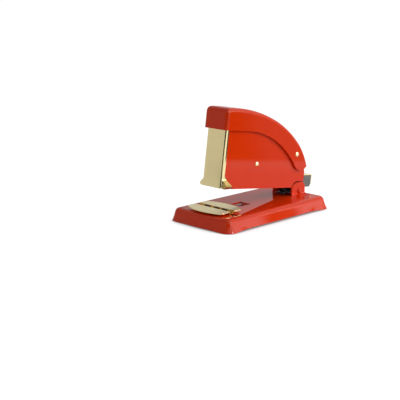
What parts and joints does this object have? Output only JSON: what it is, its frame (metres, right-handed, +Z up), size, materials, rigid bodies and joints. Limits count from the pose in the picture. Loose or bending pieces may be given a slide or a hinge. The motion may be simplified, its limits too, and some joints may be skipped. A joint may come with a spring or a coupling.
{
  "type": "desk stapler",
  "caption": "Small desk stapler: a pressed steel base with a sliding anvil, and a tall hinged head with a curved handle cover, brass front plate and pull-out staple magazine.",
  "frame": {"origin": "on the table, below the middle of the overall length and width at rest", "axes": "+X from the nose, where staples come out, to the pull tab at the tail; +Y across, to the left seen from the tail; +Z up"},
  "size_m": [0.1079, 0.0548, 0.0752],
  "materials": {
    "red_enamel": "glossy baked enamel",
    "brass_plate": "satin brass plating, lightly brushed",
    "zinc_steel": "zinc plated, lightly brushed",
    "spring_steel": "drawn spring wire, oiled",
    "staple_wire": "galvanised staple wire, glued in a strip",
    "foot_rubber": "moulded black rubber"
  },
  "bodies": {
    "base": {"base_pan": "red_enamel", "rubber_feet": "foot_rubber", "anvil_spring": "spring_steel", "hinge_pin": "red_enamel", "hinge_spring": "spring_steel"},
    "anvil": {"anvil_plate": "brass_plate", "anvil_keeper": "zinc_steel"},
    "head": {"left_side_plate": "red_enamel", "right_side_plate": "red_enamel", "front_cover": "brass_plate", "driver_guide": "zinc_steel", "magazine_channel": "zinc_steel", "hinge_bush": "zinc_steel", "staple_rail": "zinc_steel", "staple_strip": "staple_wire", "frame_rivet": "brass_plate", "frame_spacer": "zinc_steel", "pivot_spacer": "zinc_steel", "spring_seat": "zinc_steel", "handle_spring": "spring_steel"},
    "handle": {"handle_cover": "red_enamel", "pivot_rivet": "brass_plate", "driver_hanger": "zinc_steel", "spring_cup": "zinc_steel"},
    "driver": {"driver_blade": "zinc_steel"},
    "loader": {"pull_tab": "zinc_steel", "tab_trim": "brass_plate", "pusher_rod": "zinc_steel", "rod_clip": "spring_steel", "pusher_spring": "spring_steel"},
    "pusher": {"staple_pusher": "zinc_steel"}
  },
  "joints": [
    {"name": "head_hinge", "type": "hinge", "parent": "base", "child": "head", "pos_m": [0.03638, 0, 0.0109], "axis": [0, -1, 0], "range_deg": [0, 9], "stiffness_Nm_per_rad": 0.4, "springref_deg": -20.05, "deforming": ["hinge_spring"]},
    {"name": "handle_press", "type": "hinge", "parent": "head", "child": "handle", "pos_m": [0.03201, 0, 0.03726], "axis": [0, -1, 0], "range_deg": [0, 7.4], "stiffness_Nm_per_rad": 1.5, "springref_deg": -8.59, "deforming": ["handle_spring"]},
    {"name": "driver_slide", "type": "slide", "parent": "head", "child": "driver", "axis": [-0.1392, 0, -0.9903], "range_m": [0, 0.0088]},
    {"name": "loader_slide", "type": "slide", "parent": "head", "child": "loader", "axis": [0.9903, 0, -0.1392], "range_m": [0, 0.065]},
    {"name": "pusher_slide", "type": "slide", "parent": "loader", "child": "pusher", "axis": [0.9903, 0, -0.1392], "range_m": [0, 0.024], "stiffness_N_per_m": 60, "springref_m": -0.03, "deforming": ["pusher_spring"]},
    {"name": "anvil_shift", "type": "slide", "parent": "base", "child": "anvil", "axis": [0, -1, 0], "range_m": [0, 0.0035]}
  ],
  "couplings": [
    {"joint": "driver_slide", "follows": "handle_press", "m_per_rad": 0.0676}
  ]
}
